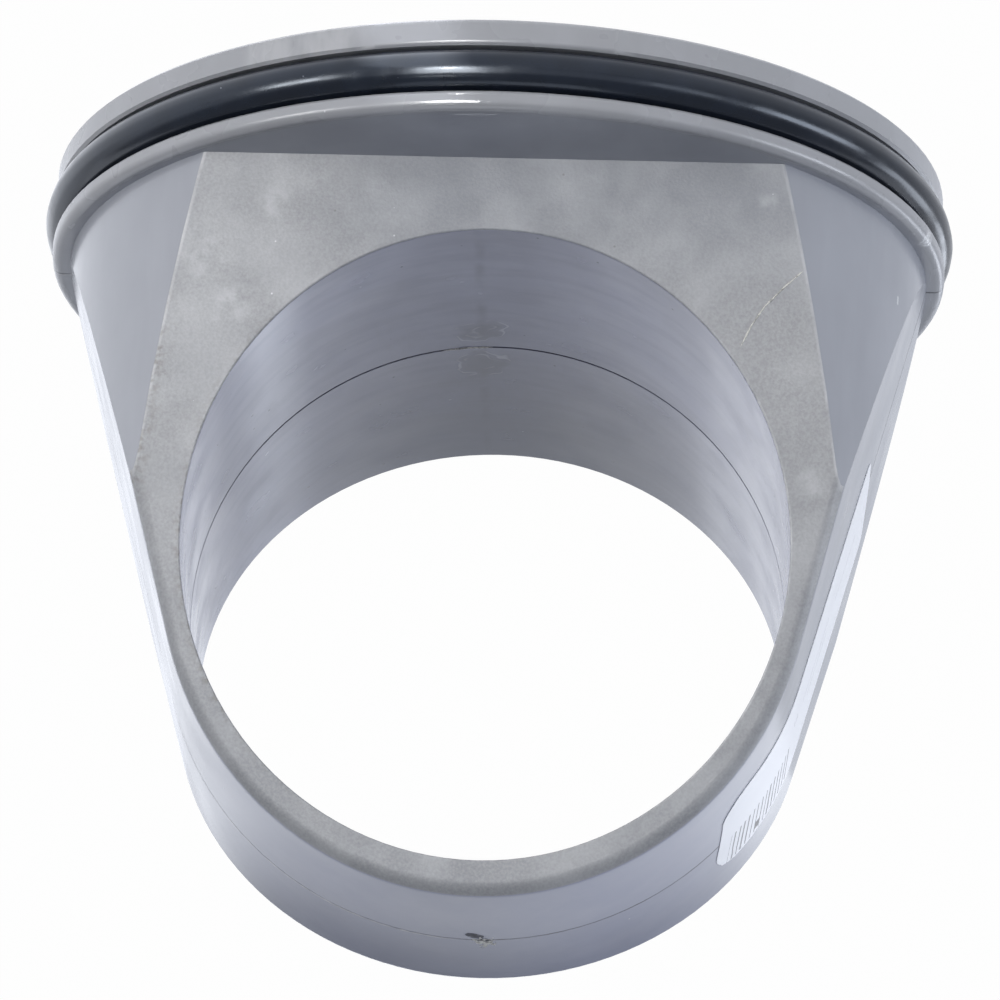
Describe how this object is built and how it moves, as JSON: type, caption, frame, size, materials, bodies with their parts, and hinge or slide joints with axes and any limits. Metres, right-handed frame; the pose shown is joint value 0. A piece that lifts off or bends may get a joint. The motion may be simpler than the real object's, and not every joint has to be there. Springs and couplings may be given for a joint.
{
  "type": "cleanout plug",
  "caption": "Moulded access plug with a pipe bore through its wedge-shaped body, a round flanged disc and a rubber seal ring in the groove between the flanges.",
  "frame": {"origin": "centre of the disc's flat outer face, on which the plug stands", "axes": "+Z from the disc towards the crown, the way the plug goes into its fitting; the pipe bore runs along Y; X is across the flared side walls"},
  "size_m": [0.1608, 0.1608, 0.1389],
  "materials": {
    "grey_upvc": "moulded grey uPVC, satin, with flow marks and parting lines",
    "black_rubber": "satin black EPDM rubber"
  },
  "bodies": {
    "root": {"plug_body": "grey_upvc", "seal_ring": "black_rubber"}
  },
  "joints": []
}
